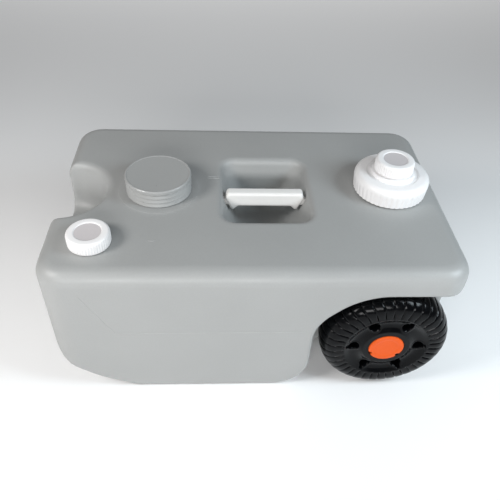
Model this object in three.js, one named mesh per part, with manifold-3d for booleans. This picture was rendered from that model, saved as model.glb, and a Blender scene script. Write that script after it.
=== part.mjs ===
// Portable waste tote: a blow-moulded holding tank that lies flat on its base and rolls on two wheels.
// Millimetres, +Z up. +X runs to the wheel end, -Y is the left side when the tote is towed by its other end.
// The origin is on the ground, in the middle of the footprint.
import * as THREE from "three";
import { mergeVertices } from "three/addons/utils/BufferGeometryUtils.js";
import Module from "manifold-3d";

const wasm = await Module();
wasm.setup();

// ---------------------------------------------------------------- driving dimensions
const TANK_LENGTH = 500;
const TANK_WIDTH = 324;
const TANK_HEIGHT = 204;
const WALL = 3.5;
const PLAN_CORNER = 34;
const TOP_ROUND = 18;
const SIDE_BEVEL = 8;
const FIT_GAP = 0.4;

const BOW_LENGTH = 97; // the underside slopes up towards the towing end over this length
const BOW_HEIGHT = 58;
const BOW_KNEE = [51, 20];

const WHEEL_RADIUS = 81.5;
const WHEEL_HALF_WIDTH = 27;
const WHEEL_X = 166;
const WHEEL_Y = 139;
const AXLE_RADIUS = 6;
const WELL_WALL_X = 74;
const WELL_WALL_Y = 106;
const WELL_CEILING = 167;
const SKID_HEIGHT = 66; // underside of the hull between the wheels

const NOTCH = { depth: 61, halfWidth: 56, floor: 134, floorRound: 20, rimRound: 9 };
const POCKET = {
  x: 16.5, y: 2, halfX: 55, halfY: 66, corner: 18, floor: 138, floorRound: 10, rimRound: 8,
  draftX: 0.35, draftY: 0.12,
};
const GRIP = { halfLength: 51, halfWidth: 7.5, depth: 21, top: TANK_HEIGHT - 2 };
const TONGUE = { halfLength: 59, halfWidth: 4, low: 182, high: 191 }; // what holds the grip in the pocket's walls

const BOSS_HEIGHT = 0.8;
const DECK = TANK_HEIGHT + BOSS_HEIGHT; // top of the raised rings that the necks stand on

// A neck: its place, radii of bore, wall and thread crest, height above its deck, and thread pitch and turns.
const CLEANOUT_NECK = {
  x: -121, y: -1, deck: DECK, bore: 31.5, wall: 35.5, crest: 37.5, height: 19, pitch: 6.5, turns: 1.75, boss: 53,
};
const DRAIN_NECK = {
  x: 182, y: 5, deck: DECK, bore: 37.5, wall: 41.5, crest: 43.5, height: 14, pitch: 5, turns: 1.75, boss: 0,
};
const VENT_NECK = {
  x: -192, y: -105.5, deck: TANK_HEIGHT, bore: 16, wall: 19.5, crest: 21, height: 11.5, pitch: 4, turns: 1.5, boss: 0,
};
const SPOUT_DECK = DECK + 29;
const SPOUT_NECK = { ...VENT_NECK, x: DRAIN_NECK.x, y: DRAIN_NECK.y, deck: SPOUT_DECK };

const THREAD_START = 2.6; // height of a neck thread's lower end above the deck
const THREAD_CLEARANCE = 0.8;
const GASKET_THICKNESS = 1.6;
const SKIRT_LIFT = 0.8; // gap under a closed cap's skirt
const CAP_CEILING = 3;

// ---------------------------------------------------------------- colours and finishes
const plastic = (color, roughness = 0.45) => new THREE.MeshStandardMaterial({ color, roughness, metalness: 0 });
const TANK_GREY = plastic(0xa3a4a3);
const CAP_GREY = plastic(0x9c9d9c);
const GRIP_GREY = plastic(0xd6d5d2);
const CAP_WHITE = plastic(0xf1f0ee, 0.4);
const SEAL_BLACK = plastic(0x1b1b1c, 0.8);
const WHEEL_BLACK = plastic(0x0c0d0f, 0.32);
const HUB_ORANGE = plastic(0xff6d14, 0.4);
const BUSH_WHITE = plastic(0xd9d9d4, 0.5);
const ZINC_STEEL = new THREE.MeshStandardMaterial({ color: 0xb8bcc0, roughness: 0.35, metalness: 1 });

// ---------------------------------------------------------------- solids and meshes
function solidFrom(geometry) {
  const bare = new THREE.BufferGeometry();
  bare.setAttribute("position", geometry.getAttribute("position"));
  bare.setIndex(geometry.index);
  const merged = mergeVertices(bare, 1e-4);
  const vertProperties = merged.getAttribute("position").array;
  const triVerts = new Uint32Array(merged.index.array);
  return new wasm.Manifold(new wasm.Mesh({ numProp: 3, vertProperties, triVerts }));
}

function geometryFrom(solid) {
  const mesh = solid.getMesh();
  const geometry = new THREE.BufferGeometry();
  geometry.setAttribute("position", new THREE.BufferAttribute(mesh.vertProperties, 3));
  geometry.setIndex(new THREE.BufferAttribute(mesh.triVerts, 1));
  geometry.computeVertexNormals();
  return geometry;
}

const tote = new THREE.Group();

function addPart(name, shape, material) {
  const geometry = shape.isBufferGeometry ? shape : geometryFrom(shape);
  const mesh = new THREE.Mesh(geometry, material);
  mesh.name = name;
  tote.add(mesh);
  return mesh;
}

// A closed outline with rounded corners. Each corner is [x, y, radius], in anticlockwise order.
function roundedOutline(corners) {
  const shape = new THREE.Shape();
  corners.forEach(([x, y, radius], i) => {
    const here = new THREE.Vector2(x, y);
    const before = new THREE.Vector2(...corners.at(i - 1)).sub(here).normalize();
    const after = new THREE.Vector2(...corners[(i + 1) % corners.length]).sub(here).normalize();
    const half = Math.acos(before.dot(after)) / 2;
    const start = here.clone().addScaledVector(before, radius / Math.tan(half));
    if (i === 0) shape.moveTo(start.x, start.y);
    else shape.lineTo(start.x, start.y);
    if (radius === 0) return;
    const towardsCentre = before.clone().add(after).normalize();
    const centre = here.clone().addScaledVector(towardsCentre, radius / Math.sin(half));
    const end = here.clone().addScaledVector(after, radius / Math.tan(half));
    const clockwise = before.cross(after) > 0;
    const from = start.clone().sub(centre).angle();
    const to = end.clone().sub(centre).angle();
    shape.absarc(centre.x, centre.y, radius, from, to, clockwise);
  });
  return shape;
}

// Moves every side of such an outline inwards by a distance, keeping its arcs concentric.
function insetCorners(corners, distance) {
  const point = (i) => new THREE.Vector2(...corners.at(i % corners.length));
  return corners.map(([, , radius], i) => {
    const here = point(i);
    const before = here.clone().sub(point(i - 1)).normalize();
    const after = point(i + 1).sub(here).normalize();
    const turn = before.cross(after);
    const inward = new THREE.Vector2(-before.y, before.x).add(new THREE.Vector2(-after.y, after.x));
    const scale = distance / (1 + before.dot(after));
    const moved = here.addScaledVector(inward, scale);
    const newRadius = radius === 0 ? 0 : Math.max(radius - Math.sign(turn) * distance, 1);
    return [moved.x, moved.y, newRadius];
  });
}

// A prism along Y whose outline is drawn in X and Z, with its two end edges rounded.
function sidePrism(corners, halfWidth, bevel, curveSegments = 5) {
  const geometry = new THREE.ExtrudeGeometry(roundedOutline(corners), {
    depth: 2 * (halfWidth - bevel),
    curveSegments,
    bevelEnabled: bevel > 0,
    bevelThickness: bevel,
    bevelSize: bevel,
    bevelOffset: -bevel,
    bevelSegments: 2,
  });
  geometry.rotateX(Math.PI / 2);
  geometry.translate(0, halfWidth - bevel, 0);
  return solidFrom(geometry);
}

// A stack of rounded rectangles. Each level is { z, halfX, halfY, corner }.
function roundedLoft(levels, x = 0, y = 0, cornerSegments = 6) {
  const positions = [];
  const index = [];
  const perLevel = 4 * (cornerSegments + 1);
  for (const { z, halfX, halfY, corner } of levels) {
    for (let quarter = 0; quarter < 4; quarter++) {
      const sideX = quarter === 0 || quarter === 3 ? 1 : -1;
      const sideY = quarter < 2 ? 1 : -1;
      for (let step = 0; step <= cornerSegments; step++) {
        const angle = ((quarter + step / cornerSegments) * Math.PI) / 2;
        positions.push(x + sideX * (halfX - corner) + corner * Math.cos(angle));
        positions.push(y + sideY * (halfY - corner) + corner * Math.sin(angle));
        positions.push(z);
      }
    }
  }
  const topStart = (levels.length - 1) * perLevel;
  for (let level = 0; level < levels.length - 1; level++) {
    for (let i = 0; i < perLevel; i++) {
      const a = level * perLevel + i;
      const b = level * perLevel + ((i + 1) % perLevel);
      index.push(a, b, b + perLevel, a, b + perLevel, a + perLevel);
    }
  }
  for (let i = 1; i < perLevel - 1; i++) {
    index.push(0, i + 1, i);
    index.push(topStart, topStart + i, topStart + i + 1);
  }
  const geometry = new THREE.BufferGeometry();
  geometry.setAttribute("position", new THREE.Float32BufferAttribute(positions, 3));
  geometry.setIndex(index);
  return solidFrom(geometry);
}

// A solid of revolution about Z. The profile is [radius, z] points, closed on itself, anticlockwise.
function turned(profile, x = 0, y = 0, segments = 28) {
  const points = [...profile, profile[0]].map(([radius, z]) => new THREE.Vector2(radius, z));
  const geometry = new THREE.LatheGeometry(points, segments);
  geometry.rotateX(Math.PI / 2);
  geometry.translate(x, y, 0);
  return solidFrom(geometry);
}

const disc = (radius, low, high, x, y, segments) =>
  turned([[0, low], [radius, low], [radius, high], [0, high]], x, y, segments);

const ring = (inner, outer, low, high, x, y, segments) =>
  turned([[inner, low], [outer, low], [outer, high], [inner, high]], x, y, segments);

// A right-handed thread ridge about Z. root and crest are radii, and an inner thread has crest under root.
function threadRidge({ root, crest, pitch, low, turns, phase = 0, x, y }) {
  const STEPS_PER_TURN = 18;
  const RUN_OUT = 2; // steps over which the ridge grows from nothing
  const rootHalf = 0.17 * pitch;
  const crestHalf = 0.1 * pitch;
  const buried = root - Math.sign(crest - root) * 0.8;
  const steps = Math.round(turns * STEPS_PER_TURN);
  const positions = [];
  const index = [];
  for (let step = 0; step <= steps; step++) {
    const angle = (2 * Math.PI * step) / STEPS_PER_TURN + phase;
    const z = low + (pitch * step) / STEPS_PER_TURN;
    const growth = Math.min(1, (step + 0.5) / RUN_OUT, (steps - step + 0.5) / RUN_OUT);
    const tip = root + (crest - root) * growth;
    const section = [[buried, -rootHalf], [tip, -crestHalf], [tip, crestHalf], [buried, rootHalf]];
    for (const [radius, dz] of section) {
      positions.push(x + radius * Math.cos(angle), y + radius * Math.sin(angle), z + dz);
    }
  }
  for (let step = 0; step < steps; step++) {
    for (let side = 0; side < 4; side++) {
      const a = 4 * step + side;
      const b = 4 * step + ((side + 1) % 4);
      index.push(a, b + 4, b, a, a + 4, b + 4);
    }
  }
  const last = 4 * steps;
  index.push(0, 1, 2, 0, 2, 3, last, last + 2, last + 1, last, last + 3, last + 2);
  if (crest < root) index.reverse();
  const geometry = new THREE.BufferGeometry();
  geometry.setAttribute("position", new THREE.Float32BufferAttribute(positions, 3));
  geometry.setIndex(index);
  return solidFrom(geometry);
}

// ---------------------------------------------------------------- tank
// The hull's outline at its sides, seen from the left side, with the wheel well's arch.
const SIDE_OUTLINE = [
  [-TANK_LENGTH / 2 - 1, BOW_HEIGHT, 60],
  [-TANK_LENGTH / 2 + BOW_KNEE[0], BOW_KNEE[1], 80],
  [-TANK_LENGTH / 2 + BOW_LENGTH, 0, 13],
  [WELL_WALL_X, 0, 46],
  [WELL_WALL_X, 118, 60],
  [125, WELL_CEILING, 80],
  [TANK_LENGTH / 2 + 1, WELL_CEILING, 13],
  [TANK_LENGTH / 2 + 1, TANK_HEIGHT + 30, 0],
  [-TANK_LENGTH / 2 - 1, TANK_HEIGHT + 30, 0],
];

// The hull's outline between the wheels, which slopes up to a flat skid over the axle.
const MIDDLE_OUTLINE = [
  [20, 0, 0],
  [66, 0, 22],
  [146, SKID_HEIGHT, 24],
  [TANK_LENGTH / 2 + 1, SKID_HEIGHT, 20],
  [TANK_LENGTH / 2 + 1, WELL_CEILING + 20, 0],
  [20, WELL_CEILING + 20, 0],
];

// The tank's full-height shape in plan, with a rounded top edge.
function planBlock(inset) {
  const ROUND_STEPS = 3;
  const levels = [
    { z: -30, halfX: TANK_LENGTH / 2 - inset, halfY: TANK_WIDTH / 2 - inset, corner: PLAN_CORNER - inset },
  ];
  for (let step = 0; step <= ROUND_STEPS; step++) {
    const angle = ((step / ROUND_STEPS) * Math.PI) / 2;
    const radius = TOP_ROUND - inset;
    const pullIn = inset + radius * (1 - Math.cos(angle));
    levels.push({
      z: TANK_HEIGHT - TOP_ROUND + radius * Math.sin(angle),
      halfX: TANK_LENGTH / 2 - pullIn,
      halfY: TANK_WIDTH / 2 - pullIn,
      corner: PLAN_CORNER - pullIn,
    });
  }
  return roundedLoft(levels);
}

// A basin sunk from the top: a rounded floor edge, sloping walls and a rim that flares out. grow thickens it.
function basin({ x, y, halfX, halfY, corner, floor, floorRound, rimRound, draftX, draftY }, grow) {
  const STEPS = 3;
  const levels = [];
  const wallTop = TANK_HEIGHT - rimRound;
  const push = (z, pullIn) => {
    const depth = Math.max(wallTop - z, 0);
    levels.push({
      z,
      halfX: halfX - pullIn - draftX * depth + grow,
      halfY: halfY - pullIn - draftY * depth + grow,
      corner: corner - pullIn + grow,
    });
  };
  for (let step = 0; step <= STEPS; step++) {
    const angle = ((step / STEPS) * Math.PI) / 2;
    push(floor + floorRound * (1 - Math.cos(angle)) - grow * Math.cos(angle), floorRound * (1 - Math.sin(angle)));
  }
  for (let step = 0; step <= STEPS; step++) {
    const angle = ((step / STEPS) * Math.PI) / 2;
    push(wallTop + rimRound * Math.sin(angle), -rimRound * (1 - Math.cos(angle)));
  }
  push(TANK_HEIGHT + 20, -rimRound);
  return roundedLoft(levels, x, y, 4);
}

const notchBasin = (grow) =>
  basin(
    {
      x: -TANK_LENGTH / 2,
      y: 0,
      halfX: NOTCH.depth,
      halfY: NOTCH.halfWidth,
      corner: NOTCH.halfWidth,
      floor: NOTCH.floor,
      floorRound: NOTCH.floorRound,
      rimRound: NOTCH.rimRound,
      draftX: 0.04,
      draftY: 0.04,
    },
    grow,
  );

// The groove across the underside that the axle snaps up into.
function axleGroove(grow) {
  const half = AXLE_RADIUS + FIT_GAP + 0.2 + grow;
  const top = WHEEL_RADIUS + half;
  const outline = [
    [WHEEL_X - half, SKID_HEIGHT - 30, 0],
    [WHEEL_X + half, SKID_HEIGHT - 30, 0],
    [WHEEL_X + half, top, half - 0.3],
    [WHEEL_X - half, top, half - 0.3],
  ];
  return sidePrism(outline, WELL_WALL_Y + 20, 0, 4);
}

// The carrying grip's outline seen from the side: a bar with a foot at each end that follows the wall down.
const GRIP_OUTLINE = [
  [POCKET.x + GRIP.halfLength + 1, GRIP.top - 9, 3],
  [POCKET.x + GRIP.halfLength - 1.5, GRIP.top, 4],
  [POCKET.x - GRIP.halfLength + 1.5, GRIP.top, 4],
  [POCKET.x - GRIP.halfLength - 1, GRIP.top - 9, 3],
  [POCKET.x - GRIP.halfLength + 8, GRIP.top - GRIP.depth - 8, 3],
  [POCKET.x - GRIP.halfLength + 16, GRIP.top - GRIP.depth, 4],
  [POCKET.x + GRIP.halfLength - 16, GRIP.top - GRIP.depth, 4],
  [POCKET.x + GRIP.halfLength - 8, GRIP.top - GRIP.depth - 8, 3],
];

// The tongues at the grip's two ends, which snap into sockets in the pocket's walls.
function gripTongues(grow) {
  const outline = [
    [POCKET.x - TONGUE.halfLength - grow, TONGUE.low - grow, 0],
    [POCKET.x + TONGUE.halfLength + grow, TONGUE.low - grow, 0],
    [POCKET.x + TONGUE.halfLength + grow, TONGUE.high + grow, 0],
    [POCKET.x - TONGUE.halfLength - grow, TONGUE.high + grow, 0],
  ];
  return sidePrism(outline, TONGUE.halfWidth + grow, 0);
}

// The hull with its basins, sockets and axle groove, its outside moved inwards by inset.
function hull(inset) {
  const sides = sidePrism(insetCorners(SIDE_OUTLINE, inset), TANK_WIDTH / 2 + 2 - inset, SIDE_BEVEL + 2 - inset);
  const middle = sidePrism(insetCorners(MIDDLE_OUTLINE, inset), WELL_WALL_Y - inset, SIDE_BEVEL - inset);
  return sides
    .add(middle)
    .intersect(planBlock(inset))
    .subtract(notchBasin(inset))
    .subtract(basin(POCKET, inset))
    .subtract(gripTongues(inset + FIT_GAP))
    .subtract(axleGroove(inset));
}

function neckOutside({ x, y, deck, wall, crest, height, pitch, turns, boss }) {
  const low = TANK_HEIGHT - WALL + 0.5;
  const top = deck + height;
  let solid = turned([[0, low], [wall, low], [wall, top - 1], [wall - 1, top], [0, top]], x, y);
  if (boss > 0) solid = solid.add(disc(boss, low, deck, x, y));
  const ridge = threadRidge({ root: wall, crest, pitch, low: deck + THREAD_START, turns, x, y });
  return solid.add(ridge);
}

const neckBore = ({ x, y, bore, deck, height }) => disc(bore, TANK_HEIGHT - 12, deck + height + 1, x, y);

function tankShell() {
  const necks = [CLEANOUT_NECK, DRAIN_NECK, VENT_NECK];
  let shell = hull(0);
  for (const neck of necks) shell = shell.add(neckOutside(neck));
  shell = shell.subtract(hull(WALL));
  for (const neck of necks) shell = shell.subtract(neckBore(neck));
  return shell;
}

addPart("tank_shell", tankShell(), TANK_GREY);

addPart("carry_handle", sidePrism(GRIP_OUTLINE, GRIP.halfWidth, 2.5, 3).add(gripTongues(0)), GRIP_GREY);

// ---------------------------------------------------------------- screw caps
// Sizes that a cap takes from the neck it closes.
function capFit(neck) {
  const seat = neck.deck + neck.height;
  return {
    seat,
    skirtBottom: neck.deck + SKIRT_LIFT,
    ceiling: seat + GASKET_THICKNESS + 2 * FIT_GAP,
    threadRoot: neck.crest + THREAD_CLEARANCE,
    threadCrest: neck.wall + THREAD_CLEARANCE,
  };
}

// The space under a cap, with its own thread left standing half a pitch above the neck's.
function capInside(neck) {
  const { skirtBottom, ceiling, threadRoot, threadCrest } = capFit(neck);
  const space = turned(
    [
      [0, skirtBottom - 1], [threadRoot, skirtBottom - 1], [threadRoot, ceiling - 4], [neck.wall + 0.2, ceiling],
      [0, ceiling],
    ],
    neck.x,
    neck.y,
  );
  const ridge = threadRidge({
    root: threadRoot,
    crest: threadCrest,
    pitch: neck.pitch,
    low: neck.deck + THREAD_START + neck.pitch / 2,
    turns: neck.turns - 0.5,
    x: neck.x,
    y: neck.y,
  });
  return space.subtract(ridge);
}

// A round block with grip ribs cut into its side, from its skirt's edge up to a chamfer.
function ribbedBlock(neck, outer, top, ribs) {
  const { skirtBottom } = capFit(neck);
  const RIB_DEPTH = 0.9;
  const outline = new THREE.Shape();
  for (let i = 0; i < 2 * ribs; i++) {
    const radius = i % 2 ? outer - RIB_DEPTH : outer;
    const angle = (Math.PI * i) / ribs;
    const [px, py] = [radius * Math.cos(angle), radius * Math.sin(angle)];
    if (i === 0) outline.moveTo(px, py);
    else outline.lineTo(px, py);
  }
  const geometry = new THREE.ExtrudeGeometry(outline, { depth: top - skirtBottom, bevelEnabled: false });
  geometry.translate(neck.x, neck.y, skirtBottom);
  return solidFrom(geometry);
}

const gasket = (neck) => {
  const low = neck.deck + neck.height + FIT_GAP;
  return ring(neck.bore + 0.5, neck.wall - 0.2, low, low + GASKET_THICKNESS, neck.x, neck.y, 24);
};

// Cleanout cap: rings round its skirt and a flat top.
function cleanoutCap() {
  const { skirtBottom, ceiling } = capFit(CLEANOUT_NECK);
  const OUTER = 42;
  const RIBS = 4;
  const RIB_DEPTH = 1.1;
  const top = ceiling + CAP_CEILING;
  const ribPitch = (top - skirtBottom) / RIBS;
  const profile = [[0, skirtBottom]];
  for (let rib = 0; rib < RIBS; rib++) {
    const low = skirtBottom + rib * ribPitch;
    profile.push([OUTER - RIB_DEPTH, low]);
    profile.push([OUTER, low + 0.3 * ribPitch], [OUTER, low + 0.8 * ribPitch]);
  }
  profile.push([OUTER - 1, top], [0, top]);
  return turned(profile, CLEANOUT_NECK.x, CLEANOUT_NECK.y).subtract(capInside(CLEANOUT_NECK));
}

const SMALL_CAP_RADIUS = 25;
const SMALL_CAP_DISH = { radius: 15.5, depth: 0.9 };

// The small cap that closes both the vent neck and the drain cap's spout.
function smallCap(neck) {
  const top = capFit(neck).ceiling + CAP_CEILING;
  const dome = turned(
    [[0, top - 30], [40, top - 30], [SMALL_CAP_RADIUS + 4, top - 4], [SMALL_CAP_RADIUS - 2.2, top], [0, top]],
    neck.x,
    neck.y,
  );
  const dish = disc(SMALL_CAP_DISH.radius, top - SMALL_CAP_DISH.depth, top + 1, neck.x, neck.y, 24);
  return ribbedBlock(neck, SMALL_CAP_RADIUS, top, 24).intersect(dome).subtract(dish).subtract(capInside(neck));
}

// Drain cap: a ribbed skirt, a sloping shoulder and a threaded spout that the small cap closes.
function drainCap() {
  const OUTER = 48.6;
  const TOP = DECK + 26.4;
  const GROOVE = { inner: 27.5, outer: 33, z: TOP - 1.8 }; // the sunken ring round the spout's collar
  const { ceiling, skirtBottom } = capFit(DRAIN_NECK);
  const { x, y } = DRAIN_NECK;
  const envelope = turned(
    [
      [0, skirtBottom - 5], [60, skirtBottom - 5], [60, TOP - 5], [OUTER, TOP - 5],
      [OUTER - 1.2, TOP - 2], [OUTER - 3.8, TOP - 0.4], [OUTER - 7, TOP], [GROOVE.outer + 1.5, TOP],
      [GROOVE.outer, GROOVE.z], [GROOVE.inner, GROOVE.z], [GROOVE.inner - 0.5, SPOUT_DECK], [0, SPOUT_DECK],
    ],
    x,
    y,
  );
  const hollow = turned(
    [
      [0, ceiling - 1], [DRAIN_NECK.bore, ceiling - 1], [DRAIN_NECK.bore, ceiling], [GROOVE.outer + 1, GROOVE.z - 2.8],
      [0, GROOVE.z - 2.8],
    ],
    x,
    y,
  );
  return ribbedBlock(DRAIN_NECK, OUTER, SPOUT_DECK + 1, 36)
    .intersect(envelope)
    .add(neckOutside(SPOUT_NECK).intersect(disc(60, SPOUT_DECK - 2, SPOUT_DECK + 40, x, y)))
    .subtract(capInside(DRAIN_NECK))
    .subtract(hollow)
    .subtract(disc(SPOUT_NECK.bore, ceiling - 5, SPOUT_DECK + 40, x, y));
}

addPart("cleanout_gasket", gasket(CLEANOUT_NECK), SEAL_BLACK);
addPart("cleanout_cap", cleanoutCap(), CAP_GREY);
addPart("vent_gasket", gasket(VENT_NECK), SEAL_BLACK);
addPart("vent_cap", smallCap(VENT_NECK), CAP_WHITE);
addPart("drain_gasket", gasket(DRAIN_NECK), SEAL_BLACK);
addPart("drain_cap", drainCap(), CAP_WHITE);
addPart("spout_gasket", gasket(SPOUT_NECK), SEAL_BLACK);
addPart("spout_cap", smallCap(SPOUT_NECK), CAP_WHITE);

// ---------------------------------------------------------------- wheels and axle
// Places along the axle are distances from a wheel's middle plane, positive outwards.
const HUB = { bore: 9, seat: 13, seatFloor: 8, capSeat: 22.6, capFloor: 22.4, face: 26 };
const HUB_CAP_RADIUS = 22;
const BUSH_BORE = AXLE_RADIUS + FIT_GAP;
const WINDOW = { count: 6, circle: 41, radius: 8, floor: 6 };
const WHEEL_WALL = 3;

// The tyre's crown and shoulders, from the inner side round to the outer side.
const TREAD_PROFILE = [
  [62, -27], [73, -24.5], [79.5, -16], [WHEEL_RADIUS, 0], [79.5, 16], [73, 24.5], [62, 27],
];

const WHEEL_PROFILE = [
  [HUB.bore, -WHEEL_HALF_WIDTH], [16, -WHEEL_HALF_WIDTH], [20, -22], [48, -22], [53, -WHEEL_HALF_WIDTH],
  ...TREAD_PROFILE,
  [52, 27], [46, 20.5], [36, 20.5], [31, HUB.face],
  [HUB.capSeat, HUB.face], [HUB.capSeat, HUB.capFloor], [HUB.seat, HUB.capFloor],
  [HUB.seat, HUB.seatFloor], [HUB.bore, HUB.seatFloor],
];

const WHEEL_CAVITY = [
  [17, -18.5], [49, -18.5], [54, -23.5], [70, -21.5], [76, -14], [77.8, 0],
  [76, 14], [70, 21.5], [54, 23.3], [47, 17], [33, 17], [27, 19], [17, 19],
];

function wheelSolid() {
  let solid = turned(WHEEL_PROFILE, 0, 0, 36);
  let cavity = turned(WHEEL_CAVITY, 0, 0, 20);
  for (let i = 0; i < WINDOW.count; i++) {
    const angle = (2 * Math.PI * i) / WINDOW.count;
    const [wx, wy] = [WINDOW.circle * Math.cos(angle), WINDOW.circle * Math.sin(angle)];
    solid = solid.subtract(disc(WINDOW.radius, WINDOW.floor, 40, wx, wy, 8));
    cavity = cavity.subtract(disc(WINDOW.radius + WHEEL_WALL, WINDOW.floor - WHEEL_WALL, 40, wx, wy, 8));
  }
  const BLOW_HOLE = disc(2, -30, -15, 35, 0, 8);
  return solid.subtract(cavity).subtract(BLOW_HOLE);
}

function hubCap() {
  const SKIRT = { inner: 11, outer: 12.6, depth: 6 };
  const NOTCH_ANGLES = [207, 322];
  const NOTCH_RADIUS = 2.6;
  const base = HUB.capFloor + FIT_GAP;
  const face = HUB.face + 1.2;
  let solid = turned([
    [SKIRT.inner, base - SKIRT.depth], [SKIRT.outer, base - SKIRT.depth], [SKIRT.outer, base],
    [HUB_CAP_RADIUS, base], [HUB_CAP_RADIUS, face - 1], [HUB_CAP_RADIUS - 1, face], [0, face],
    [0, base + 0.6], [SKIRT.inner, base + 0.6],
  ], 0, 0, 24);
  for (const degrees of NOTCH_ANGLES) {
    const angle = THREE.MathUtils.degToRad(degrees);
    const [nx, ny] = [HUB_CAP_RADIUS * Math.cos(angle), HUB_CAP_RADIUS * Math.sin(angle)];
    solid = solid.subtract(disc(NOTCH_RADIUS, 0, 40, nx, ny, 8));
  }
  return solid;
}

const innerBush = () =>
  turned([[BUSH_BORE, -29.3], [13, -29.3], [13, -27.3], [8.6, -27.3], [8.6, -10], [BUSH_BORE, -10]], 0, 0, 20);
const outerBush = () =>
  turned([[BUSH_BORE, -8], [8.6, -8], [8.6, 8.3], [12, 8.3], [12, 10], [BUSH_BORE, 10]], 0, 0, 20);
const washer = (low) => ring(BUSH_BORE, 12, low, low + 1.5, 0, 0, 20);
const pushNut = () =>
  turned([[BUSH_BORE, 12.3], [10.5, 12.3], [10.5, 13.3], [8, 15], [BUSH_BORE, 15]], 0, 0, 20);

// Stands a part made about Z on the axle, its +Z pointing out to one side of the tote.
function onAxle(name, solid, material, side) {
  const mesh = addPart(name, solid, material);
  mesh.rotation.x = side * -Math.PI / 2;
  mesh.position.set(WHEEL_X, side * WHEEL_Y, WHEEL_RADIUS);
  return mesh;
}

const AXLE_LENGTH = 2 * (WHEEL_Y + 18);
const axle = new THREE.CylinderGeometry(AXLE_RADIUS, AXLE_RADIUS, AXLE_LENGTH, 20);
addPart("axle_rod", axle, ZINC_STEEL).position.set(WHEEL_X, 0, WHEEL_RADIUS);

for (const [label, side] of [["left", -1], ["right", 1]]) {
  onAxle(`wheel_${label}`, wheelSolid(), WHEEL_BLACK, side);
  onAxle(`hub_cap_${label}`, hubCap(), HUB_ORANGE, side);
  onAxle(`inner_bush_${label}`, innerBush(), BUSH_WHITE, side);
  onAxle(`outer_bush_${label}`, outerBush(), BUSH_WHITE, side);
  onAxle(`inner_washer_${label}`, washer(-31.6), ZINC_STEEL, side);
  onAxle(`outer_washer_${label}`, washer(10.4), ZINC_STEEL, side);
  onAxle(`push_nut_${label}`, pushNut(), ZINC_STEEL, side);
}

export default tote;
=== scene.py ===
"""Portable waste tote: the looks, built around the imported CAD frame. Metres, +Z up, +X to the wheel end."""
import math
import bmesh
import bpy
from mathutils import Matrix, Vector


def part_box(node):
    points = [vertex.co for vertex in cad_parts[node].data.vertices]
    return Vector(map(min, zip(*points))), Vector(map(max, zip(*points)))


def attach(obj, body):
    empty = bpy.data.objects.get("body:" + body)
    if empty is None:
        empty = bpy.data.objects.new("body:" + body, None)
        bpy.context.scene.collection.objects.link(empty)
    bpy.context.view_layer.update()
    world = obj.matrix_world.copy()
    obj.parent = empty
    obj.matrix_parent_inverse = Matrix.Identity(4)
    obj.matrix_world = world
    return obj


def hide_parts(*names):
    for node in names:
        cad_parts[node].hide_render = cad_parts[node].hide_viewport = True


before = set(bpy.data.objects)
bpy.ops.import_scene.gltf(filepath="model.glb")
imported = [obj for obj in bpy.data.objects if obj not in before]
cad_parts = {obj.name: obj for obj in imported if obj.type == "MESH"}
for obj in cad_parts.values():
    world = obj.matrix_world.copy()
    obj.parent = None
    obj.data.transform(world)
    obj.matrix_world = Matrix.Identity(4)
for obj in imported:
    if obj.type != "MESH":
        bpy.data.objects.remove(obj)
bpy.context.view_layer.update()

MM = 0.001
SCENE = bpy.context.scene

# ---------------------------------------------------------------- driving dimensions, in millimetres
TANK = {"length": 500, "width": 324, "height": 204, "wall": 3.5}
PLAN_CORNER = 34
TOP_ROUND = 18
SIDE_ROUND = 8
DECK = TANK["height"] + 0.8
BOSS_RADIUS = 51
BOW = {"length": 97, "height": 58, "knee": (51, 20)}
WELL = {"x": 74, "y": 106, "ceiling": 167, "skid": 66}
NOTCH = {"depth": 61, "half_width": 56, "floor": 134, "floor_round": 20, "rim_round": 9, "draft": 0.04}
POCKET = {
    "x": 16.5, "y": 2, "half_x": 55, "half_y": 66, "corner": 18,
    "floor": 138, "floor_round": 10, "rim_round": 8,
}
POCKET_DRAFT = (0.35, 0.12)
GRIP = {"half_length": 51, "half_width": 7.5, "depth": 21, "top": TANK["height"] - 2}
TONGUE = {"half_length": 59, "half_width": 4, "low": 182, "high": 191}
FIT_GAP = 0.4
SKIRT_LIFT = 0.8
SMALL_NECK = {"bore": 16, "wall": 19.5, "crest": 21, "height": 11.5, "pitch": 4, "turns": 1.5}
NECKS = {
    "cleanout": {"bore": 31.5, "wall": 35.5, "crest": 37.5, "height": 19, "pitch": 6.5, "turns": 1.75},
    "drain": {"bore": 37.5, "wall": 41.5, "crest": 43.5, "height": 14, "pitch": 5, "turns": 1.75},
    "vent": SMALL_NECK,
    "spout": SMALL_NECK,
}
THREAD_START = 2.6
WHEEL = {"radius": 81.5, "half_width": 27, "axle": 6, "face": 26.6, "side": 60}
TREAD = {"grooves": 38, "depth": 1.5, "half_width": 0.8, "sweep": 0.05, "inner": 52}
HOLES = {"count": 6, "circle": 41, "radius": 6.0, "notch": 7, "notch_half": 2.4, "depth": 13}
HUB = {"radius": 22, "face": 27.2, "base": 22.8, "notch": 3.2, "notch_angles": (207, 322)}
SMALL_CAP = {"outer": 25, "knurls": 48, "dish": 15.6}
DRAIN_CAP = {"outer": 48.6, "ribs": 44, "height": 26.4, "groove": 24.6}
CLEANOUT_CAP = {"outer": 42, "ribs": 4}


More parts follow.
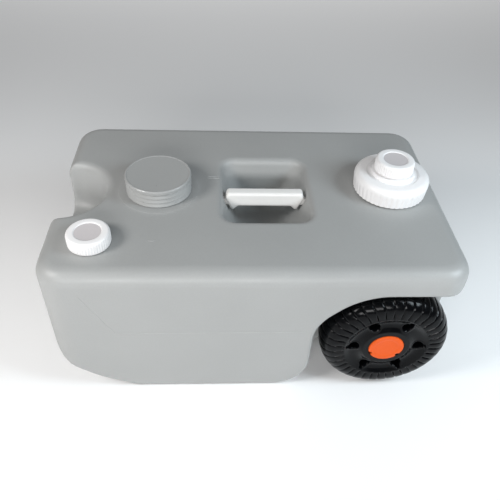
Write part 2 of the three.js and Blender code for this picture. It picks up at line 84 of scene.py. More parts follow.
# ---------------------------------------------------------------- mesh helpers
def make_object(name, points, faces, scale=MM):
    """A mesh object from points in millimetres."""
    mesh = bpy.data.meshes.new(name)
    mesh.from_pydata([tuple(c * scale for c in p) for p in points], [], faces)
    mesh.validate()
    piece = bpy.data.objects.new(name, mesh)
    SCENE.collection.objects.link(piece)
    fix = bmesh.new()
    fix.from_mesh(mesh)
    bmesh.ops.remove_doubles(fix, verts=fix.verts, dist=1e-7)
    bmesh.ops.recalc_face_normals(fix, faces=fix.faces)
    fix.to_mesh(mesh)
    fix.free()
    return piece


def apply_modifiers(piece):
    """Replaces the piece's mesh with the one its modifiers make."""
    bpy.context.view_layer.update()
    graph = bpy.context.evaluated_depsgraph_get()
    mesh = bpy.data.meshes.new_from_object(piece.evaluated_get(graph))
    piece.modifiers.clear()
    piece.data = mesh
    return piece


def cut_or_join(piece, tools, operation):
    """Joins, cuts or intersects a closed piece with closed tools, which are used up."""
    for tool in tools:
        step = piece.modifiers.new("boolean", "BOOLEAN")
        step.operation = operation
        step.solver = "MANIFOLD"
        step.object = tool
        apply_modifiers(piece)
        bpy.data.objects.remove(tool)
    return piece


def merge(piece, others):
    """Puts the meshes of the others into the piece's mesh."""
    whole = bmesh.new()
    for part in [piece, *others]:
        whole.from_mesh(part.data)
    whole.to_mesh(piece.data)
    whole.free()
    for part in others:
        bpy.data.objects.remove(part)
    return piece


def soften(piece, voxel, repeats, most_triangles=None):
    """Gives a hard-edged solid the flowing edges of a moulding."""
    remesh = piece.modifiers.new("remesh", "REMESH")
    remesh.mode = "VOXEL"
    remesh.voxel_size = voxel * MM
    smooth = piece.modifiers.new("smooth", "SMOOTH")
    smooth.factor = 0.5
    smooth.iterations = repeats
    apply_modifiers(piece)
    triangles = 2 * len(piece.data.polygons)
    if most_triangles and triangles > most_triangles:
        thin = piece.modifiers.new("thin", "DECIMATE")
        thin.ratio = most_triangles / triangles
        apply_modifiers(piece)
    return piece


def keep_inside(piece, low, high):
    """Holds every point inside a box, so that smoothing can't grow the part."""
    for vertex in piece.data.vertices:
        vertex.co = [min(max(c, a), b) for c, a, b in zip(vertex.co, low, high)]


def shade(piece, degrees):
    """Smooth shading with edges kept sharp over an angle."""
    piece.data.shade_smooth()
    piece.data.set_sharp_from_angle(angle=math.radians(degrees))
    return piece


def rounded_outline(corners, arc_step=6):
    """Points of an outline whose corners are (x, y, radius)."""
    points = []
    count = len(corners)
    for i, (x, y, radius) in enumerate(corners):
        here = Vector((x, y))
        if radius == 0:
            points.append(here)
            continue
        before = (Vector(corners[i - 1][:2]) - here).normalized()
        after = (Vector(corners[(i + 1) % count][:2]) - here).normalized()
        half = before.angle(after) / 2
        centre = here + (before + after).normalized() * (radius / math.sin(half))
        start = here + before * (radius / math.tan(half)) - centre
        end = here + after * (radius / math.tan(half)) - centre
        begin = math.atan2(start.y, start.x)
        sweep = (math.atan2(end.y, end.x) - begin + math.pi) % math.tau - math.pi
        steps = max(2, math.ceil(abs(math.degrees(sweep)) / arc_step - 0.01))
        for k in range(steps + 1):
            angle = begin + sweep * k / steps
            points.append(centre + radius * Vector((math.cos(angle), math.sin(angle))))
    return points


def inset_corners(corners, distance):
    """Moves every side of an anticlockwise outline inwards, keeping its arcs concentric."""
    moved = []
    for i, (x, y, radius) in enumerate(corners):
        here = Vector((x, y))
        before = (here - Vector(corners[i - 1][:2])).normalized()
        after = (Vector(corners[(i + 1) % len(corners)][:2]) - here).normalized()
        turn = before.x * after.y - before.y * after.x
        inward = Vector((-before.y - after.y, before.x + after.x))
        here += inward * (distance / (1 + before.dot(after)))
        new_radius = 0 if radius == 0 else max(radius - math.copysign(distance, turn), 0.6)
        moved.append((here.x, here.y, new_radius))
    return moved


def loft(name, rings):
    """A closed solid through rings of points, each with the same count."""
    count = len(rings[0])
    points = [p for ring in rings for p in ring]
    faces = []
    for level in range(len(rings) - 1):
        for i in range(count):
            a = level * count + i
            b = level * count + (i + 1) % count
            faces.append((a, b, b + count, a + count))
    last = (len(rings) - 1) * count
    faces.append(tuple(reversed(range(count))))
    faces.append(tuple(range(last, last + count)))
    return make_object(name, points, faces)


def side_prism(name, corners, half_width, round_radius, round_steps=6):
    """A prism along Y from an outline in X and Z, its two end edges rounded."""
    rings = []
    angles = [90 * k / round_steps for k in range(round_steps + 1)] if round_radius else [90]
    for side, order in ((-1, reversed(angles)), (1, angles)):
        for degrees in order:
            angle = math.radians(degrees)
            inset = round_radius * (1 - math.sin(angle))
            y = side * (half_width - round_radius * (1 - math.cos(angle)))
            outline = rounded_outline(inset_corners(corners, inset) if inset else corners)
            rings.append([(p.x, y, p.y) for p in outline])
    rings.sort(key=lambda ring: ring[0][1])
    return loft(name, rings)


def rounded_loft(name, levels, x=0, y=0, segments=14):
    """A stack of rounded rectangles, each (z, half x, half y, corner radius)."""
    rings = []
    for z, half_x, half_y, corner in levels:
        ring = []
        for quarter, (sx, sy) in enumerate(((1, 1), (-1, 1), (-1, -1), (1, -1))):
            for step in range(segments + 1):
                angle = (quarter + step / segments) * math.pi / 2
                px = x + sx * (half_x - corner) + corner * math.cos(angle)
                py = y + sy * (half_y - corner) + corner * math.sin(angle)
                ring.append((px, py, z))
        rings.append(ring)
    return loft(name, rings)


def revolve(name, profile, segments=128, ripple=None, place=(0, 0, 0), turn=None):
    """A solid of revolution from a closed profile of (radius, z). ripple moves a point by (dr, dz)."""
    points = []
    rows = []
    for radius, z in profile:
        if radius < 1e-6:
            rows.append([len(points)] * segments)
            points.append(Vector((0, 0, z)))
            continue
        row = []
        for i in range(segments):
            angle = math.tau * i / segments
            dr, dz = ripple(angle, radius, z) if ripple else (0, 0)
            row.append(len(points))
            points.append(Vector(((radius + dr) * math.cos(angle), (radius + dr) * math.sin(angle), z + dz)))
        rows.append(row)
    faces = []
    for one, two in zip(rows, rows[1:] + rows[:1]):
        for i in range(segments):
            j = (i + 1) % segments
            corners = dict.fromkeys((one[i], one[j], two[j], two[i]))
            if len(corners) > 2:
                faces.append(tuple(corners))
    if turn:
        points = [turn @ p for p in points]
    return make_object(name, [p + Vector(place) for p in points], faces)


def tube(name, path, radius, sides=8, closed=False):
    """A thin round bead along points."""
    points = []
    faces = []
    count = len(path)
    for i, point in enumerate(path):
        ahead = Vector(path[(i + 1) % count] if closed or i < count - 1 else path[i])
        behind = Vector(path[i - 1] if closed or i > 0 else path[i])
        along = (ahead - behind).normalized()
        side = along.orthogonal().normalized() if abs(along.z) > 0.9 else along.cross((0, 0, 1)).normalized()
        up = side.cross(along)
        for k in range(sides):
            angle = math.tau * k / sides
            points.append(Vector(point) + radius * (math.cos(angle) * side + math.sin(angle) * up))
    for i in range(count if closed else count - 1):
        for k in range(sides):
            a, b = i * sides + k, i * sides + (k + 1) % sides
            c, d = (b + sides) % len(points), (a + sides) % len(points)
            faces.append((a, b, c, d))
    if not closed:
        faces.append(tuple(range(sides)))
        faces.append(tuple(reversed(range(len(points) - sides, len(points)))))
    return make_object(name, points, faces)


def thread_ridge(name, root, crest, pitch, low, turns, place):
    """A right-handed thread ridge about Z, on a neck if crest is over root and in a cap if under it."""
    steps_per_turn = 60
    steps = round(turns * steps_per_turn)
    run_out = 9
    buried = root - math.copysign(0.6, crest - root)
    half_root, half_crest = 0.17 * pitch, 0.08 * pitch
    points = []
    faces = []
    for step in range(steps + 1):
        angle = math.tau * step / steps_per_turn
        z = low + pitch * step / steps_per_turn
        growth = min(1, (step + 0.5) / run_out, (steps - step + 0.5) / run_out)
        tip = root + (crest - root) * growth
        shoulder = root + (crest - root) * growth * 0.75
        section = [
            (buried, -half_root), (shoulder, -0.7 * half_root), (tip, -half_crest),
            (tip, half_crest), (shoulder, 0.7 * half_root), (buried, half_root),
        ]
        for radius, dz in section:
            points.append((place[0] + radius * math.cos(angle), place[1] + radius * math.sin(angle), z + dz))
    sides = 6
    for step in range(steps):
        for k in range(sides):
            a = step * sides + k
            b = step * sides + (k + 1) % sides
            faces.append((a, b, b + sides, a + sides))
    faces.append(tuple(range(sides)))
    faces.append(tuple(reversed(range(len(points) - sides, len(points)))))
    return make_object(name, points, faces)


def add(piece, material, body, slot, *nodes):
    """Finishes a piece: its material, the body it rides on and the CAD nodes it stands for. The slot argument
    is not used.
    """
    piece.data.materials.clear()
    piece.data.materials.append(material)
    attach(piece, body)
    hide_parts(*nodes)
    return piece


# ---------------------------------------------------------------- materials
def plastic(name, colour, roughness, mottle=0.04, grain=0.05, scratches=0.25, wear=0.12, coat=0.0, gloss=0.5):
    """Moulded plastic: cloudy colour, orange-peel grain, fine scratches and rubbed edges."""
    material = bpy.data.materials.new(name)
    material.use_nodes = True
    nodes, links = material.node_tree.nodes, material.node_tree.links
    shader = nodes["Principled BSDF"]
    shader.inputs["Metallic"].default_value = 0.0
    shader.inputs["Coat Weight"].default_value = coat
    shader.inputs["Coat Roughness"].default_value = 0.15
    shader.inputs["Specular IOR Level"].default_value = gloss
    place = nodes.new("ShaderNodeTexCoord").outputs["Object"]

    def noise(scale, detail, stretch=None):
        node = nodes.new("ShaderNodeTexNoise")
        node.inputs["Scale"].default_value = scale
        node.inputs["Detail"].default_value = detail
        source = place
        if stretch:
            mapping = nodes.new("ShaderNodeMapping")
            mapping.inputs["Scale"].default_value = stretch
            links.new(place, mapping.inputs["Vector"])
            source = mapping.outputs["Vector"]
        links.new(source, node.inputs["Vector"])
        return node.outputs["Fac"]

    def remap(value, low, high, out_low, out_high):
        node = nodes.new("ShaderNodeMapRange")
        node.inputs["From Min"].default_value = low
        node.inputs["From Max"].default_value = high
        node.inputs["To Min"].default_value = out_low
        node.inputs["To Max"].default_value = out_high
        links.new(value, node.inputs["Value"])
        return node.outputs["Result"]

    def combine(operation, a, b):
        node = nodes.new("ShaderNodeMath")
        node.operation = operation
        for socket, value in zip(node.inputs, (a, b)):
            if isinstance(value, float):
                socket.default_value = value
            else:
                links.new(value, socket)
        return node.outputs["Value"]

    cloud = remap(noise(9.0, 3.0), 0.3, 0.7, 1.0 - mottle, 1.0 + mottle)
    speck = remap(noise(420.0, 2.0), 0.35, 0.65, 1.0 - mottle / 2, 1.0 + mottle / 2)
    edge = remap(nodes.new("ShaderNodeNewGeometry").outputs["Pointiness"], 0.52, 0.6, 0.0, wear)
    worn = combine("MULTIPLY", edge, remap(noise(70.0, 4.0), 0.4, 0.6, 0.2, 1.0))
    brightness = combine("ADD", combine("MULTIPLY", cloud, speck), worn)
    tint = nodes.new("ShaderNodeVectorMath")
    tint.operation = "SCALE"
    tint.inputs[0].default_value = colour
    links.new(brightness, tint.inputs["Scale"])
    links.new(tint.outputs["Vector"], shader.inputs["Base Color"])

    scratch = remap(noise(1.0, 4.0, (900.0, 40.0, 300.0)), 0.62, 0.7, 0.0, scratches)
    smudge = remap(noise(24.0, 5.0), 0.3, 0.7, roughness - 0.05, roughness + 0.06)
    links.new(combine("ADD", smudge, combine("MULTIPLY", scratch, 0.4)), shader.inputs["Roughness"])

    peel = combine("ADD", noise(1500.0, 2.0), combine("MULTIPLY", noise(160.0, 2.0), 1.6))
    height = combine("SUBTRACT", peel, scratch)
    bump = nodes.new("ShaderNodeBump")
    bump.inputs["Strength"].default_value = grain
    bump.inputs["Distance"].default_value = 0.0006
    links.new(height, bump.inputs["Height"])
    links.new(bump.outputs["Normal"], shader.inputs["Normal"])
    return material


def metal(name, colour, roughness):
    """Zinc-plated steel with fine turning lines and a cloudy tint."""
    material = plastic(name, colour, roughness, mottle=0.1, grain=0.15, scratches=0.4, wear=0.2)
    material.node_tree.nodes["Principled BSDF"].inputs["Metallic"].default_value = 1.0
    return material


TANK_GREY = plastic("tank_grey", (0.345, 0.35, 0.345), 0.45, mottle=0.025, grain=0.05)
CAP_GREY = plastic("cap_grey", (0.35, 0.355, 0.35), 0.32, mottle=0.02, grain=0.03, coat=0.15)
GRIP_GREY = plastic("grip_grey", (0.78, 0.77, 0.75), 0.34, mottle=0.02, grain=0.04)
CAP_WHITE = plastic("cap_white", (0.85, 0.84, 0.84), 0.34, mottle=0.012, grain=0.04, wear=0.04)
# A darker, rougher copy of the white cap plastic for the small caps' dished tops. The rougher surface is
# real; the darker colour is painted shade.
CAP_WHITE_PAINTED_SHADE = plastic("cap_white_matt_painted_shade", (0.56, 0.53, 0.535), 0.6, mottle=0.015, grain=0.12, wear=0.0)
WHEEL_BLACK = plastic(
    "wheel_black", (0.0015, 0.0017, 0.0022), 0.18, mottle=0.15, grain=0.04, wear=0.002, gloss=0.14
)
HUB_ORANGE = plastic("hub_orange", (0.7, 0.09, 0.006), 0.36, mottle=0.03, grain=0.05, wear=0.03, gloss=0.2)
RUBBER = plastic("seal_black", (0.02, 0.02, 0.02), 0.75, mottle=0.1, grain=0.2, wear=0.0)
NYLON = plastic("bush_white", (0.7, 0.7, 0.67), 0.42, mottle=0.02, grain=0.05)
ZINC = metal("zinc_steel", (0.55, 0.56, 0.57), 0.34)


# ---------------------------------------------------------------- tank
def centre_of(node):
    """A round node's axis, in millimetres."""
    low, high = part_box(node)
    return (500 * (low.x + high.x), 500 * (low.y + high.y))


def side_outline():
    """The tank in X and Z: the bow up to the towing end, the wheel well and the shelf over the wheels."""
    half = TANK["length"] / 2 + 1
    top = TANK["height"] + 30
    return [
        (-half, BOW["height"], 60), (1 - half + BOW["knee"][0], BOW["knee"][1], 80),
        (1 - half + BOW["length"], 0, 13), (WELL["x"], 0, 46), (WELL["x"], 118, 60),
        (125, WELL["ceiling"], 80), (half, WELL["ceiling"], 13), (half, top, 0), (-half, top, 0),
    ]


def middle_outline():
    """The skid between the wheels, in X and Z."""
    half = TANK["length"] / 2 + 1
    top = WELL["ceiling"] + 20
    skid = WELL["skid"]
    return [(20, 0, 0), (66, 0, 22), (146, skid, 24), (half, skid, 20), (half, top, 0), (20, top, 0)]


def plan_block(inset):
    """The tank's full-height shape in plan, with its rounded top edge."""
    half_x, half_y = TANK["length"] / 2, TANK["width"] / 2
    radius = TOP_ROUND - inset
    steps = 10
    levels = [(-30, half_x - inset, half_y - inset, PLAN_CORNER - inset)]
    for step in range(steps + 1):
        angle = math.pi / 2 * step / steps
        pull = inset + radius * (1 - math.cos(angle))
        z = TANK["height"] - TOP_ROUND + radius * math.sin(angle)
        levels.append((z, half_x - pull, half_y - pull, PLAN_CORNER - pull))
    return rounded_loft("plan", levels)


def basin(x, y, half_x, half_y, corner, floor, floor_round, rim_round, drafts, grow):
    """A hollow sunk from the top, with a rounded floor edge, sloping walls and a flared rim."""
    steps = 8
    wall_top = TANK["height"] - rim_round
    levels = []

    def push(z, pull):
        depth = max(wall_top - z, 0)
        across = half_x - pull - drafts[0] * depth + grow
        along = half_y - pull - drafts[1] * depth + grow
        levels.append((z, across, along, corner - pull + grow))

    for step in range(steps + 1):
        angle = math.pi / 2 * step / steps
        rise = floor_round * (1 - math.cos(angle)) - grow * math.cos(angle)
        push(floor + rise, floor_round * (1 - math.sin(angle)))
    for step in range(steps + 1):
        angle = math.pi / 2 * step / steps
        push(wall_top + rim_round * math.sin(angle), -rim_round * (1 - math.cos(angle)))
    push(TANK["height"] + 20, -rim_round)
    return rounded_loft("basin", levels, x, y)


def notch_basin(grow):
    """The hand hold cut into the towing end."""
    wide, draft = NOTCH["half_width"], (NOTCH["draft"], NOTCH["draft"])
    rounds = (NOTCH["floor_round"], NOTCH["rim_round"])
    return basin(-TANK["length"] / 2, 0, NOTCH["depth"], wide, wide, NOTCH["floor"], *rounds, draft, grow)


def pocket_basin(grow):
    """The pocket under the grip."""
    return basin(*POCKET.values(), POCKET_DRAFT, grow)


def axle_groove(grow):
    """The groove across the skid that the axle rod lies in."""
    wheel_x = 500 * sum(corner.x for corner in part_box("axle_rod"))
    half = WHEEL["axle"] + FIT_GAP + 0.2 + grow
    top = WHEEL["radius"] + half
    low = WELL["skid"] - 30
    corners = [
        (wheel_x - half, low, 0), (wheel_x + half, low, 0), (wheel_x + half, top, half - 0.3),
        (wheel_x - half, top, half - 0.3),
    ]
    return side_prism("groove", corners, WELL["y"] + 20, 0)


def grip_tongues(grow):
    """A bar right across the pocket, whose ends are the grip's tongues or, when grown, their sockets."""
    reach = TONGUE["half_length"] + grow
    low, high = TONGUE["low"] - grow, TONGUE["high"] + grow
    x = POCKET["x"]
    corners = [(x - reach, low, 0), (x + reach, low, 0), (x + reach, high, 0), (x - reach, high, 0)]
    return side_prism("tongues", corners, TONGUE["half_width"] + grow, 0)


def hull(inset):
    """The tank's outside with its basins, sockets and axle groove, moved inwards by inset."""
    solid = side_prism(
        "hull", inset_corners(side_outline(), inset), TANK["width"] / 2 + 2 - inset, SIDE_ROUND + 2 - inset
    )
    skid_outline = inset_corners(middle_outline(), inset)
    middle = side_prism("middle", skid_outline, WELL["y"] - inset, SIDE_ROUND - inset)
    cut_or_join(solid, [middle], "UNION")
    cut_or_join(solid, [plan_block(inset)], "INTERSECT")
    tools = [notch_basin(inset), pocket_basin(inset), grip_tongues(inset + FIT_GAP), axle_groove(inset)]
    return cut_or_join(solid, tools, "DIFFERENCE")


def deck_disc(name, radius, low, high, place):
    """A plain upright disc."""
    return revolve(name, [(0, low), (radius, low), (radius, high), (0, high)], 96, place=(*place, 0))


def neck_pieces(name, deck, place):
    """A neck's tube, with its rounded lip, and its thread."""
    neck = NECKS[name]
    top = deck + neck["height"]
    low = deck - TANK["wall"] - 1.2
    inside, outside = neck["bore"] - 0.4, neck["wall"]
    corners = [(inside, low, 0), (outside, low, 0), (outside, top, 0.9), (inside, top, 0.9)]
    body = revolve("neck", rounded_outline(corners, 20), 120, place=(*place, 0))
    ridge = thread_ridge(
        "ridge", neck["wall"], neck["crest"], neck["pitch"], deck + THREAD_START, neck["turns"], place
    )
    return [body, ridge]


def deck_marks():
    """The faint raised marks that the mould leaves: a ring, a parting line and two small marks."""
    cx, cy = centre_of("cleanout_cap")
    marks = []
    turns = [math.tau * k / 120 for k in range(120)]
    ring = [(cx + BOSS_RADIUS * math.cos(a), cy + BOSS_RADIUS * math.sin(a), 204.0) for a in turns]
    marks.append(tube("mark", ring, 0.6, closed=True))
    front = -TANK["width"] / 2 + 0.25
    parting = [(-201, front, 172), (-168, front, 111), (-163, front, 109), (62, front, 109)]
    marks.append(tube("mark", parting, 0.55))
    marks.append(tube("mark", [(x, -front, z) for x, _, z in parting], 0.55))
    for y in (24.5, 28.0):
        marks.append(tube("mark", [(-59 + 2 * k, y, 204.0) for k in range(9)], 0.45))
    arc_angles = [math.radians(215 + 12 * k) for k in range(10)]
    arc = [(-122 + 5 * math.cos(a), -98 + 5 * math.sin(a), 203.9) for a in arc_angles]
    marks.append(tube("mark", arc, 0.5))
    return marks


def tank():
    """The hollow tank with its basins, necks and mould marks."""
    wall, height = TANK["wall"], TANK["height"]
    solid = hull(0)
    boss = deck_disc("boss", BOSS_RADIUS, height - 2, DECK, centre_of("cleanout_cap"))
    cut_or_join(solid, [boss], "UNION")
    cut_or_join(solid, [hull(wall)], "DIFFERENCE")
    places = {name: centre_of(f"{name}_cap") for name in ("cleanout", "drain", "vent")}
    for name, place in places.items():
        bore = deck_disc("bore", NECKS[name]["bore"], height - 14, height + 9, place)
        cut_or_join(solid, [bore], "DIFFERENCE")
    soften(solid, 2.0, 9, 190_000)
    low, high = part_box("tank_shell")
    keep_inside(solid, low, high)
    extra = deck_marks()
    for name, place in places.items():
        extra += neck_pieces(name, height if name == "vent" else DECK, place)
    merge(solid, extra)
    solid.name = "tank_moulding"
    return shade(solid, 45)


add(tank(), TANK_GREY, "tank", "tank_grey", "tank_shell")


def grip():
    """The carrying grip: a rounded bar with a foot at each end and a tongue in each socket."""
    x, half, top, depth = POCKET["x"], GRIP["half_length"], GRIP["top"], GRIP["depth"]
    corners = [
        (x + half + 1, top - 9, 3),
        (x + half - 1.5, top, 4),
        (x - half + 1.5, top, 4),
        (x - half - 1, top - 9, 3),
        (x - half + 8, top - depth - 8, 3),
        (x - half + 16, top - depth, 4),
        (x + half - 16, top - depth, 4),
        (x + half - 8, top - depth - 8, 3),
    ]
    bar = side_prism("grip", corners, GRIP["half_width"], 3.8)
    cut_or_join(bar, [grip_tongues(0)], "UNION")
    soften(bar, 0.8, 3)
    low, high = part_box("carry_handle")
    keep_inside(bar, low, high)
    bar.name = "grip_bar"
    return shade(bar, 60)


add(grip(), GRIP_GREY, "tank", "grip_grey", "carry_handle")


# ---------------------------------------------------------------- screw caps
def cap_fit(name, deck):
    """The sizes that a cap takes from its neck."""
    neck = NECKS[name]
    seat = deck + neck["height"]
    return {"low": deck + SKIRT_LIFT, "ceiling": seat + 1.6 + 2 * FIT_GAP, "root": neck["crest"] + 0.8}


def cap_inside(name, deck):
    """A cap's inner profile, from its skirt's edge to its axis, and its thread."""
    fit = cap_fit(name, deck)
    neck = NECKS[name]
    inner = [
        (fit["root"], fit["low"], 0.5),
        (fit["root"], fit["ceiling"] - 4, 1.0),
        (neck["wall"] + 0.2, fit["ceiling"], 0.8),
    ]
    start = deck + THREAD_START + neck["pitch"] / 2
    place = centre_of(f"{name}_cap")
    crest = neck["wall"] + 0.8
    ridge = thread_ridge("cap_thread", fit["root"], crest, neck["pitch"], start, neck["turns"] - 0.5, place)
    return inner, ridge


def cap_deck(name):
    """The height of the face that a cap's skirt sits over."""
    low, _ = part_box(f"{name}_cap")
    return low.z / MM - SKIRT_LIFT


def cleanout_cap():
    """Four rings round the skirt, a thin raised rim and a flat top."""
    deck = cap_deck("cleanout")
    fit = cap_fit("cleanout", deck)
    inner, ridge = cap_inside("cleanout", deck)
    outer, ribs = CLEANOUT_CAP["outer"], CLEANOUT_CAP["ribs"]
    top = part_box("cleanout_cap")[1].z / MM
    pitch = (top - fit["low"]) / ribs
    corners = [(0, fit["ceiling"], 0), *reversed(inner)]
    for rib in range(ribs):
        low = fit["low"] + rib * pitch
        corners += [
            (outer - 0.6, low, 0.3),
            (outer, low + 0.15 * pitch, 0.6),
            (outer - 1.9, low + 0.95 * pitch, 0.4),
        ]
    corners[-1] = (outer, top - 1.2, 0.8)
    corners += [
        (outer - 1.2, top, 0.5),
        (outer - 2.4, top, 0.3),
        (outer - 2.9, top - 0.5, 0.3),
        (0, top - 0.5, 0),
    ]
    place = (*centre_of("cleanout_cap"), 0)
    cap = revolve("cleanout_screw_cap", rounded_outline(corners, 15), 160, place=place)
    return shade(merge(cap, [ridge]), 50)


def small_cap(name):
    """A knurled side with a scalloped lower edge, a rounded crown and a dished top."""
    deck = cap_deck(name)
    fit = cap_fit(name, deck)
    inner, ridge = cap_inside(name, deck)
    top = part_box(f"{name}_cap")[1].z / MM
    outer, knurls = SMALL_CAP["outer"], SMALL_CAP["knurls"]

    def knurl(angle, radius, z):
        if radius < outer - 3.4 or z > top - 0.6:
            return 0, 0
        fade = min(1, (top - z) / 5)
        wave = 0.5 + 0.5 * math.cos(knurls * angle)
        scallop = 0.45 * wave if z < fit["low"] + 1.2 else 0
        return -0.7 * fade * (1 - wave ** 0.6), scallop

    corners = [
        (0, fit["ceiling"], 0),
        *reversed(inner),
        (outer - 0.5, fit["low"], 0.4),
        (outer, fit["low"] + 2, 0.6),
        (outer, top - 7, 0),
        (outer, top, 3.6),
        (16.6, top, 0.4),
        (15.2, top - 0.9, 0.5),
        (0, top - 0.9, 0),
    ]
    profile = rounded_outline(corners, 12)
    cap = revolve(f"{name}_screw_cap", profile, knurls * 8, knurl, place=(*centre_of(f"{name}_cap"), 0))
    return shade(merge(cap, [ridge]), 60)


def drain_cap():
    """A faintly ribbed skirt, a round shoulder, a sunken ring and the spout's neck."""
    deck = cap_deck("drain")
    fit = cap_fit("drain", deck)
    inner, ridge = cap_inside("drain", deck)
    spout_deck = cap_deck("spout")
    outer, ribs = DRAIN_CAP["outer"], DRAIN_CAP["ribs"]
    top, groove = deck + DRAIN_CAP["height"], deck + DRAIN_CAP["groove"]
    bore, spout_wall = SMALL_NECK["bore"], SMALL_NECK["wall"]
    spout_top = spout_deck + SMALL_NECK["height"]

    def ripple(angle, radius, z):
        if radius < outer - 4 or z > top - 7:
            return 0, 0
        wave = 0.5 + 0.5 * math.cos(ribs * angle)
        return -0.8 * (1 - wave ** 0.5) * min(1, (top - 7 - z) / 5), 0

    corners = [
        (bore, spout_top, 0.9),
        (bore, groove - 2.8, 1.5),
        (34, groove - 2.8, 1.5),
        (NECKS["drain"]["bore"], fit["ceiling"], 1),
        *reversed(inner),
        (outer - 1.4, fit["low"], 0.6),
        (outer, top - 10, 8),
        (outer - 0.6, top, 8),
        (34, top, 1.2),
        (32.4, groove, 0.8),
        (28, groove, 0.8),
        (27, spout_deck, 0.8),
        (spout_wall, spout_deck, 0.4),
        (spout_wall, spout_top, 0.9),
    ]
    place = centre_of("drain_cap")
    cap = revolve("drain_screw_cap", rounded_outline(corners, 10), ribs * 8, ripple, place=(*place, 0))
    crest, pitch, turns = (SMALL_NECK[key] for key in ("crest", "pitch", "turns"))
    start = spout_deck + THREAD_START
    spout_ridge = thread_ridge("spout_thread", spout_wall, crest, pitch, start, turns, place)
    return shade(merge(cap, [ridge, spout_ridge]), 50)


add(cleanout_cap(), CAP_GREY, "cleanout_closure", "cap_grey", "cleanout_cap")
for name in ("vent", "spout"):
    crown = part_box(f"{name}_cap")[1].z - 2 * MM
    axis = Vector(centre_of(f"{name}_cap")) * MM
    piece = add(small_cap(name), CAP_WHITE, f"{name}_closure", "cap_white", f"{name}_cap")
    # The dished top of each small cap takes the darker copy: painted shade on the top of the cap.
    piece.data.materials.append(CAP_WHITE_PAINTED_SHADE)
    for face in piece.data.polygons:
        if face.center.z > crown and (face.center.xy - axis).length < SMALL_CAP["dish"] * MM:
            face.material_index = 1
add(drain_cap(), CAP_WHITE, "drain_closure", "cap_white", "drain_cap")

# ---------------------------------------------------------------- wheels
SIDES = {"left": Matrix.Rotation(math.pi / 2, 3, "X"), "right": Matrix.Rotation(-math.pi / 2, 3, "X")}


def smoothstep(low, high, value):
    """A smooth ramp from 0 at low to 1 at high, which may be the smaller of the two."""
    t = min(max((value - low) / (high - low), 0), 1)
    return t * t * (3 - 2 * t)


def wheel_ripple(angle, radius, z):
    """The tyre's cross grooves, which run in over the outer face, and that face's notched holes."""
    if radius > TREAD["inner"]:
        pitch = math.tau / TREAD["grooves"]
        offset = ((angle + TREAD["sweep"] * (z / WHEEL["half_width"]) ** 2) / pitch + 0.5) % 1 - 0.5
        distance = abs(offset) * pitch * radius
        fade = (TREAD["inner"], TREAD["inner"] + 5) if z > 0 else (62, 70)
        reach = smoothstep(*fade, radius)
        groove = TREAD["depth"] * math.exp(-((distance / TREAD["half_width"]) ** 2))
        depth = reach * (groove + 0.25 * (1 - 2 * abs(offset)))
        outwards = smoothstep(WHEEL["side"], 74, radius)
        return -depth * outwards, -math.copysign(depth * (1 - outwards), z)
    if z < 15 or radius < 28:
        return 0, 0
    step = math.tau / HOLES["count"]
    turn = (angle / step + 0.5) % 1 - 0.5
    along, across = radius - HOLES["circle"], turn * step * radius
    away = math.hypot(along, across)
    beyond = math.hypot(max(along - HOLES["notch"], 0, -along), across)
    hole = max(
        smoothstep(HOLES["radius"] + 0.9, HOLES["radius"] - 0.4, away),
        smoothstep(HOLES["notch_half"] + 0.8, HOLES["notch_half"] - 0.3, beyond),
    )
    lip = math.exp(-(((away - HOLES["radius"] - 1.8) / 1.1) ** 2))
    return 0, -HOLES["depth"] * hole + (1 - hole) * 0.5 * lip


def wheel_profile():
    """The wheel's half section, its z running outwards."""
    side, rim = WHEEL["side"], WHEEL["face"]
    corners = [
        (22.6, 22.4, 0),
        (22.6, 26, 0.4),
        (29.5, 26, 3),
        (41, 19.6, 14),
        (53, rim, 4),
        (side, rim, 0),
        (side, 0, 0),
        (22.6, 0, 0),
    ]
    face = rounded_outline(corners, 6)[:-2]
    dense = []
    for one, two in zip(face, face[1:]):
        steps = max(1, round((two - one).length / 0.9))
        dense += [one.lerp(two, k / steps) for k in range(steps)]
    crown = []
    steps = 48
    for k in range(steps + 1):
        t = math.pi / 2 - math.pi * k / steps
        across = math.copysign(abs(math.sin(t)) ** 0.85, math.sin(t))
        crown.append(Vector((side + (WHEEL["radius"] - side) * abs(math.cos(t)) ** 0.8, rim * across)))
    back = [(53, -rim), (48, -22), (20, -22), (16, -27), (9, -27), (9, 8), (13, 8), (13, 22.4)]
    return [p for p in dense if p.y > 19] + crown + [Vector(p) for p in back]


def wheel_place(label):
    """A wheel's middle, in millimetres."""
    low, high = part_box(f"wheel_{label}")
    return (low + high) * 500


def wheel(label, turn):
    """One wheel: the tread, the outer face with its trough and holes, and the hub's bore."""
    segments = TREAD["grooves"] * 14
    place = wheel_place(label)
    piece = revolve(f"wheel_moulding_{label}", wheel_profile(), segments, wheel_ripple, place, turn)
    return shade(piece, 50)


def hub_disc(label, turn):
    """The snap-in hub cap: a dished disc with two half-round notches in its edge."""
    radius, face, base = HUB["radius"], HUB["face"], HUB["base"]
    notches = [math.radians(angle) for angle in HUB["notch_angles"]]
    notch_radius = HUB["notch"]

    def bite(angle, r, z):
        edge = radius
        for notch in notches:
            away = radius * abs((angle - notch + math.pi) % math.tau - math.pi)
            if away < notch_radius:
                edge = radius - math.sqrt(notch_radius ** 2 - away ** 2)
        return min(0, edge - (radius - r) * 0.4 - r), 0

    corners = [
        (0, base + 0.6, 0),
        (11, base + 0.6, 0),
        (11, base - 6, 0.4),
        (12.6, base - 6, 0.4),
        (12.6, base, 0.3),
        (radius, base, 0.3),
        (radius, face, 1.1),
        (16, face, 3),
        (15, face - 0.35, 3),
        (0, face - 0.35, 0),
    ]
    profile = rounded_outline(corners, 15)
    piece = revolve(f"hub_disc_{label}", profile, 288, bite, wheel_place(label), turn)
    return shade(piece, 45)


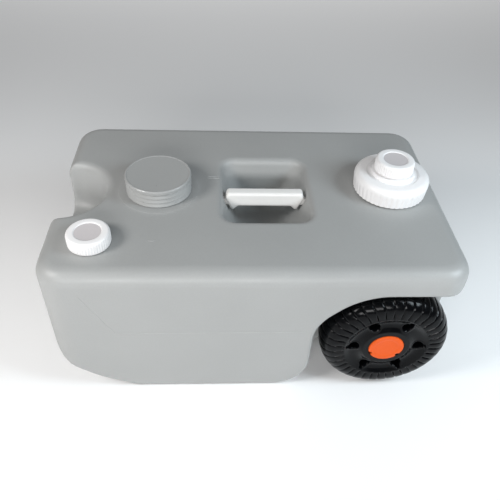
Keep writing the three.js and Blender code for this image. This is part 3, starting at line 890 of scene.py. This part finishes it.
for label, turn in SIDES.items():
    add(wheel(label, turn), WHEEL_BLACK, f"{label}_wheel", "wheel_black", f"wheel_{label}")
    add(hub_disc(label, turn), HUB_ORANGE, f"{label}_wheel", "hub_orange", f"hub_cap_{label}")

# ---------------------------------------------------------------- materials of the CAD nodes that stay
KEPT = {"gasket": RUBBER, "bush": NYLON, "washer": ZINC, "push_nut": ZINC, "axle_rod": ZINC}
for name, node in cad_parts.items():
    for word, material in KEPT.items():
        if word in name:
            node.data.materials.clear()
            node.data.materials.append(material)

# ---------------------------------------------------------------- stage
CAMERA = {"place": (-0.0444, -0.583, 0.6273), "pitch": 42.22, "yaw": 4.46, "roll": 3.11, "lens": 39.43}


def camera():
    """A camera at the height and angle of someone standing over the tote."""
    pitch, yaw, roll = (math.radians(CAMERA[key]) for key in ("pitch", "yaw", "roll"))
    ahead = Vector((math.sin(yaw) * math.cos(pitch), math.cos(yaw) * math.cos(pitch), -math.sin(pitch)))
    right = Vector((math.cos(yaw), -math.sin(yaw), 0))
    up = right.cross(ahead)
    tilted_right = math.cos(roll) * right + math.sin(roll) * up
    tilted_up = math.cos(roll) * up - math.sin(roll) * right
    data = bpy.data.cameras.new("camera")
    data.lens = CAMERA["lens"]
    data.sensor_width = 36
    view = bpy.data.objects.new("camera", data)
    basis = Matrix((tilted_right, tilted_up, -ahead)).transposed().to_4x4()
    view.matrix_world = Matrix.Translation(CAMERA["place"]) @ basis
    SCENE.collection.objects.link(view)
    SCENE.camera = view


def area_light(name, place, target, size, power, colour):
    """A soft rectangular lamp that faces its target."""
    data = bpy.data.lights.new(name, "AREA")
    data.shape = "RECTANGLE"
    data.size, data.size_y = size
    data.energy = power
    data.color = colour
    lamp = bpy.data.objects.new(name, data)
    lamp.location = place
    lamp.rotation_euler = (Vector(target) - Vector(place)).to_track_quat("-Z", "Y").to_euler()
    SCENE.collection.objects.link(lamp)


def floor():
    """A plain pale floor."""
    half = 4.0
    corners = [(-half, -half, -0.0004), (half, -half, -0.0004), (half, half, -0.0004), (-half, half, -0.0004)]
    piece = make_object("floor", corners, [(0, 1, 2, 3)], 1)
    material = bpy.data.materials.new("floor")
    material.use_nodes = True
    shader = material.node_tree.nodes["Principled BSDF"]
    shader.inputs["Base Color"].default_value = (0.93, 0.93, 0.93, 1)
    shader.inputs["Roughness"].default_value = 0.9
    piece.data.materials.append(material)


def light():
    """Soft studio light, with a lamp at the back, mostly for the floor."""
    world = bpy.data.worlds.new("studio")
    world.use_nodes = True
    world.node_tree.nodes["Background"].inputs["Color"].default_value = (0.97, 0.985, 1.0, 1)
    world.node_tree.nodes["Background"].inputs["Strength"].default_value = 0.12
    SCENE.world = world
    area_light("left", (-0.75, -0.42, 0.75), (-0.05, 0, 0.15), (0.3, 0.3), 5.5, (1.0, 0.985, 0.97))
    area_light("front", (-0.2, -1.7, 0.8), (0, 0, 0.1), (1.4, 0.35), 19, (1.0, 1.0, 1.0))
    area_light("right", (0.75, -0.35, 0.7), (0.1, 0, 0.15), (0.35, 0.35), 6.0, (0.82, 0.93, 1.0))
    area_light("back", (0, 2.1, 0.9), (0, 2.1, 0), (3.5, 1.4), 14, (1.0, 1.0, 1.0))
    SCENE.view_settings.view_transform = "Standard"


camera()
floor()
light()

bpy.context.view_layer.update()
